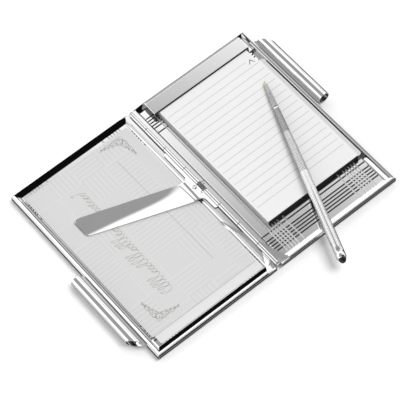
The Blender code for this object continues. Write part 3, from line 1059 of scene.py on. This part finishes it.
@once
def patterned_card():
    """Laid card with a faint printed maze of stripes and square rings."""
    sizes = bpy.context.scene.notepad_card
    material, shader, sheet = new_finish("patterned_card", Roughness=0.75)
    place, (x, y, _) = object_place(sheet)
    cell = 17.0
    u, v = x / cell, (y - HINGE.y / MM) / cell
    seed = u.whole() * 7.3 + v.whole() * 3.1
    kind = seed.node("ShaderNodeTexWhiteNoise", {"W": seed}, output="Value", noise_dimensions="1D")
    fu, fv = u.fraction() - 0.5, v.fraction() - 0.5
    rings = (abs(fu).maths("MAXIMUM", abs(fu), abs(fv)) * 12.0).fraction() < 0.5
    upright_lines = (fu * 6.0).fraction() < 0.5
    level_lines = (fv * 6.0).fraction() < 0.5
    first, second = kind < 0.34, kind > 0.67
    pattern = rings * first + upright_lines * second + level_lines * (1 - first) * (1 - second)
    grain = noise(place, 900.0)
    strength = pattern * 0.75 + grain * 0.3
    feed(shader, "Base Color", strength.mix(colour(sizes.card_colour), colour(sizes.print_colour)))
    feed(shader, "Normal", bump(grain, 0.1, 0.02))
    return material


def ribbon(shape, points, widths, z):
    """A flat printed stroke through points."""
    rows = []
    for k, (point, width) in enumerate(zip(points, widths)):
        ahead = Vector(points[min(k + 1, len(points) - 1)]) - Vector(points[max(k - 1, 0)])
        side = Vector((-ahead.y, ahead.x)).normalized() * width / 2
        rows.append([(*(Vector(point) - side), z), (*(Vector(point) + side), z)])
    shape.grid(rows)


def scroll(centre, radius, turns, start):
    """A spiral that closes on its centre."""
    steps = 28
    points = []
    for k in range(steps + 1):
        share = k / steps
        angle = math.radians(start) + math.tau * turns * share
        reach = radius * (1 - 0.85 * share)
        points.append((centre[0] + reach * math.cos(angle), centre[1] + reach * math.sin(angle)))
    return points


def corner_sprig():
    """Strokes of a corner ornament: a knot of scrolls with two leafy arms along the axes."""
    strokes = [scroll((3.2, 3.2), 3.1, 1.3, 225), scroll((3.2, 3.2), 2.2, 1.0, 45)]
    for swap in (False, True):
        arm = []
        for k in range(5):
            along = 5.6 + 2.6 * k
            size = 1.9 - 0.3 * k
            arm.append(scroll((along, 2.3 - 0.15 * k), size, 1.3, 150 + 40 * (k % 2)))
            arm.append(scroll((along + 0.8, 3.6 - 0.5 * k), size * 0.6, 1.0, 20))
        arm.append([(2.0 + 0.8 * j, 0.9 + 0.5 * math.sin(j * 0.9)) for j in range(19)])
        arm.append([(4.0 + 0.75 * j, 5.6 - 0.31 * j + 0.4 * math.sin(j * 1.3)) for j in range(17)])
        strokes += [[(v, u) for u, v in stroke] if swap else stroke for stroke in arm]
    return strokes


class NOTEPAD_OT_card(bpy.types.Operator):
    """Lay the insert card with its printed ornaments"""

    bl_idname = "notepad.card"
    bl_label = "Insert card"

    def execute(self, context):
        low, high = box_of("insert_card")
        outline = rounded_path(rectangle(low.x, low.y, high.x, high.y), [0.4] * 4, 4)
        card = patterned_card()
        add_slab("insert_card_laid", outline, low.z, high.z, "insert_card", card, ["insert_card"], "card")
        self.add_liner()
        print_z = high.z + 0.004
        prints = Shape()
        for (x, y), u, v in (((-12.6, 62.4), -1, -1), ((-75.4, -52.0), 1, 1)):
            for stroke in corner_sprig():
                ribbon(prints, [(x + u * a, y + v * b) for a, b in stroke], [0.27] * len(stroke), print_z)
        self.add_flourish(prints, print_z)
        rule = [(-25.9 + 0.13 * k, 49.0 - 8.9 * k) for k in range(11)]
        ribbon(prints, rule, [0.32] * len(rule), print_z)
        ink = plain_paper("warm_ink", tuple(context.scene.notepad_card.ink_colour))
        add_piece("card_ornaments", prints, "insert_card", [ink], (), "card", sheet=0.003, weld=0.0)
        return {"FINISHED"}

    def add_liner(self):
        """The pale sheet that lines the tray under the card."""
        corners = rectangle(-81.6, -HALF_LENGTH + 6.6, -6.4, HALF_LENGTH - 5.4)
        outline = rounded_path(corners, [1.2] * 4, 4)
        liner = plain_paper("liner_paper", 0.74)
        add_slab("card_tray_liner", outline, 1.63, 1.8, "card_cover", liner, (), "card")

    def add_flourish(self, prints, z):
        """A wordless pen flourish along the card: slanted loops of changing height."""
        chance = random.Random(11)
        knots = []
        y = -41.0
        while y < 47.0:
            height = chance.choice((2.6, 3.2, 3.4, 7.6, 8.6))
            knots += [(-53.8, y), (-54.4 - height * 0.55, y + 2.6), (-54.2 - height, y + 3.4)]
            knots += [(-54.0 - height * 0.8, y + 1.7), (-54.2 - height * 0.3, y + 1.3)]
            y += chance.uniform(2.3, 3.4)
        points = smooth_line([Vector(knot) for knot in knots], 7)
        widths = [0.2 + 0.2 * abs(math.sin(k * 0.23)) for k in range(len(points))]
        ribbon(prints, points, widths, z)


def smooth_line(knots, steps):
    """A Catmull-Rom line through knots."""
    points = []
    for k in range(1, len(knots) - 2):
        a, b, c, d = knots[k - 1 : k + 3]
        for step in range(steps):
            t = step / steps
            curve = 2 * b + (c - a) * t + (2 * a - 5 * b + 4 * c - d) * t**2 + (3 * b - a - 3 * c + d) * t**3
            points.append(curve / 2)
    return points


# ---- pen


PEN_AXIS = Vector(JOINTS["pen_slide"]["axis"]).normalized()
# Stations from the writing point, in millimetres: the lattice of the nose and the start of the flutes.
LATTICE_START, LATTICE_END = 12.0, 20.2
FLUTES_START = 21.5


def pen_reach(node, far):
    """A node's nearest or farthest point along the pen."""
    points = [vertex.co for vertex in frame["nodes"][node].data.vertices]
    return (max if far else min)(points, key=PEN_AXIS.dot)


class NOTEPAD_OT_pen(bpy.types.Operator):
    """Turn the pen: brass point, latticed nose, fluted barrel and black tail"""

    bl_idname = "notepad.pen"
    bl_label = "Pen"

    def execute(self, context):
        self.sizes = context.scene.notepad_pen
        tip = pen_reach("refill_point", False)
        self.length = (pen_reach("pen_tail_cap", True) - tip).dot(PEN_AXIS) / MM
        turn = PEN_AXIS.to_track_quat("Z", "Y").to_matrix().to_4x4()
        self.place = TO_MM @ Matrix.Translation(tip) @ turn @ Matrix.Scale(MM, 4)
        tail = self.length - 3.6
        # The nose is satin metal at half the plate's brightness: painted shade.
        nose_metal = cut_metal("nose_metal", 0.5, 0.2)
        self.turned("pen_nose_latticed", self.nose(), "pen_front", [nose_metal], ["pen_nose"], steps=120)
        metals = [plated_metal(), cut_metal("fluted_shade", 0.16, 0.35)]
        self.turned("pen_barrel_fluted", self.barrel(tail), "pen", metals, ["pen_barrel"], steps=176)
        self.turned("pen_tail_dome", self.dome(tail), "pen", [gloss_black()], ["pen_tail_cap"], "black_cap")
        point = [(0.9, 11.9), (0.86, 3.4), (0.7, 2.3), (0.52, 1.6), (0.42, 0.9), (0.34, 0.45)]
        point += [(0.2, 0.12), (0.01, 0.0)]
        self.turned("writing_point", point, "refill", [bright_brass()], ["refill_point"], "brass")
        return {"FINISHED"}

    def nose(self):
        """Radius and station down the nose: its bore, its taper and the latticed grip."""
        profile = [(0.93, 10.0), (0.9, 3.3), (0.92, 3.1), (1.0, 3.15), (1.14, 6.0), (1.3, 9.0)]
        profile += [(1.46, 11.4), (1.38, 11.6)]
        for k in range(38):
            station = 11.8 + 0.22 * k
            profile.append((self.radius(station), station))
        return profile + [(self.radius(20.3), 20.35), (1.6, 20.5), (1.4, 20.5)]

    def barrel(self, tail):
        """The barrel from its front edge to the groove and the rounded end before the tail."""
        profile = [(1.4, 20.8), (1.7, 20.8), (self.radius(20.95), 20.95)]
        stations = [*range(22, 48, 2), *range(50, int(tail) - 4, 5)]
        profile += [(self.radius(station), float(station)) for station in stations]
        end = ((3.0, -4.0), (2.86, -3.8), (2.86, -3.5), (3.0, -3.3), (3.0, -0.3), (2.85, 0.1))
        end += ((2.6, 0.6), (2.3, 0.8))
        return profile + [(radius, tail + offset) for radius, offset in end]

    def dome(self, tail):
        """The black tail: a short neck and a quarter of an ellipse."""
        radius, foot, steps = 2.25, tail + 0.9, 8
        profile = [(2.0, tail + 0.3), (2.2, tail + 0.4), (radius, foot)]
        for k in range(1, steps + 1):
            angle = math.radians(90 - 90 * k / steps)
            rise = (self.length - foot) * math.cos(angle)
            profile.append((max(radius * math.sin(angle), 0.01), foot + rise))
        return profile

    def radius(self, station):
        stations = ((6.8, 1.15), (14.0, 1.55), (20.5, 1.8), (50.0, 2.5), (85.0, 3.0), (140.0, 3.0))
        return between(station, stations)

    def relief(self, station, angle):
        """How far the surface lies under the smooth taper: lattice on the nose, flutes behind."""
        if LATTICE_START < station < LATTICE_END:
            twist = station * 1.05
            crossing = min(abs(math.sin(4.5 * angle + twist)), abs(math.sin(4.5 * angle - twist)))
            return 0.16 * max(1 - crossing / 0.45, 0.0)
        if FLUTES_START < station < self.length - 8.5:
            return self.sizes.flute_depth * (0.5 + 0.5 * math.cos(self.sizes.flutes * angle))
        return 0.0

    def turned(self, name, profile, body, finishes, stands_for, slot="plated_metal", steps=48):
        """A turned piece from points of radius and station, with the pen's relief cut in."""
        rows = []
        for radius, station in profile:
            row = []
            for k in range(steps):
                angle = math.tau * k / steps
                reach = radius - (self.relief(station, angle) if body != "refill" else 0.0)
                row.append(self.place @ Vector((reach * math.cos(angle), reach * math.sin(angle), station)))
            rows.append(row)

        # The flutes take the dark satin as painted shade: most of each flute near the front of the barrel,
        # less of it further back.
        def finish(i, j):
            station = profile[i][1]
            if len(finishes) == 1 or not FLUTES_START < station < self.length - 9.0:
                return 0
            share = between(station, ((22.0, -0.5), (50.0, -0.3), (80.0, 0.8)))
            return int(math.cos(self.sizes.flutes * math.tau * (j + 0.5) / steps) > share)

        shape = Shape()
        shape.grid(rows, across=True, finish=finish)
        add_piece(name, shape, body, finishes, stands_for, slot, sharp=48.0)


# ---- stage


class NOTEPAD_OT_stage(bpy.types.Operator):
    """Set the floor, the soft studio light and the camera"""

    bl_idname = "notepad.stage"
    bl_label = "Stage"

    def execute(self, context):
        sizes = context.scene.notepad_stage
        self.add_camera(context, sizes)
        self.add_floor(sizes)
        self.add_surround(context)
        self.add_key()
        context.scene.view_settings.view_transform = "Standard"
        return {"FINISHED"}

    def add_camera(self, context, sizes):
        data = bpy.data.cameras.new("camera")
        data.lens = sizes.lens
        data.sensor_width = 36.0
        data.clip_end = 50.0
        camera = bpy.data.objects.new("camera", data)
        context.collection.objects.link(camera)
        aim = TO_FRAME @ Vector((-6.6, -5.7, HINGE_Z))
        flat = math.cos(sizes.elevation)
        x, y = math.sin(sizes.azimuth) * flat, -math.cos(sizes.azimuth) * flat
        away = Vector((x, y, math.sin(sizes.elevation)))
        turn = (-away).to_track_quat("-Z", "Y").to_matrix().to_4x4()
        spin = Matrix.Rotation(sizes.roll, 4, "Z")
        camera.matrix_world = Matrix.Translation(aim + away * sizes.distance) @ turn @ spin
        context.scene.camera = camera

    def add_floor(self, sizes):
        mesh = bpy.data.meshes.new("floor")
        bm = bmesh.new()
        bmesh.ops.create_grid(bm, x_segments=1, y_segments=1, size=6.0)
        bm.to_mesh(mesh)
        bm.free()
        material, shader, _ = new_finish("floor_white", Roughness=0.9)
        shader.inputs["Base Color"].default_value = colour(sizes.floor_colour)
        mesh.materials.append(material)
        floor = bpy.data.objects.new("floor", mesh)
        bpy.context.collection.objects.link(floor)
        floor.location.z = cad_low.z - 0.0001
        floor.visible_glossy = False

    def add_surround(self, context):
        """A white tent: grey overhead, dark in front, behind and in a strip to the right.

        Below the horizon it darkens to the right and is bright far behind.
        """
        world = bpy.data.worlds.new("studio")
        world.use_nodes = True
        context.scene.world = world
        sheet = Wire(world.node_tree)
        look = sheet.node("ShaderNodeTexCoord", output="Generated")
        x, y, z = (look.node("ShaderNodeSeparateXYZ", {0: look}, output=axis) for axis in "XYZ")
        ceiling = look.dot((-0.204, -0.166, 0.965)).ramp(0.640, 0.728)
        front = look.dot((0.27, -0.78, 0.56)).ramp(0.79, 0.86)
        behind = look.dot((0.26, 0.94, 0.23)).ramp(0.93, 0.955)
        strip = z.ramp(0.32, 0.36) * (1 - z.ramp(0.42, 0.47)) * x.ramp(0.45, 0.6)
        above = (1.25 - 0.91 * ceiling) * (1 - front) * (1 - behind) * (1 - 0.9 * strip)
        below = 0.65 - 0.6 * x.ramp(-0.1, 0.3) * (0.4 + 0.6 * y.ramp(-0.4, 0.1))
        below = below + y.ramp(0.6, 0.8)
        rise = z.ramp(-0.06, 0.02)
        level = above * rise + below * (1 - rise) + 0.004
        background = world.node_tree.nodes["Background"]
        world.node_tree.links.new(level.socket, background.inputs["Strength"])
        background.inputs["Color"].default_value = (1.0, 1.0, 1.0, 1.0)

    def add_key(self):
        data = bpy.data.lights.new("key", "SUN")
        data.energy = 2.0
        data.angle = math.radians(35)
        key = bpy.data.objects.new("key", data)
        bpy.context.collection.objects.link(key)
        key.rotation_euler = Vector((0.45, -0.37, 1.2)).to_track_quat("Z", "Y").to_euler()
        key.visible_glossy = False


# ---- panel and running order


STEPS = ("stage", "covers", "hinge", "tubes", "band", "arm", "pad", "card", "pen")


class NOTEPAD_PT_holder(bpy.types.Panel):
    """Lists the pieces of the notepad holder"""

    bl_idname = "NOTEPAD_PT_holder"
    bl_label = "Notepad holder"
    bl_space_type = "VIEW_3D"
    bl_region_type = "UI"
    bl_category = "Notepad"

    def draw(self, context):
        for step in STEPS:
            self.layout.operator(f"notepad.{step}")


CLASSES = (
    *SETTINGS.values(),
    NOTEPAD_OT_stage,
    NOTEPAD_OT_covers,
    NOTEPAD_OT_hinge,
    NOTEPAD_OT_tubes,
    NOTEPAD_OT_band,
    NOTEPAD_OT_arm,
    NOTEPAD_OT_pad,
    NOTEPAD_OT_card,
    NOTEPAD_OT_pen,
    NOTEPAD_PT_holder,
)


def register():
    for cls in CLASSES:
        bpy.utils.register_class(cls)
    for name, group in SETTINGS.items():
        setattr(bpy.types.Scene, name, bpy.props.PointerProperty(type=group))


def unregister():
    for name in SETTINGS:
        delattr(bpy.types.Scene, name)
    for cls in reversed(CLASSES):
        bpy.utils.unregister_class(cls)


def main():
    register()
    for step in STEPS:
        getattr(bpy.ops.notepad, step)()


if __name__ == "__main__":
    main()
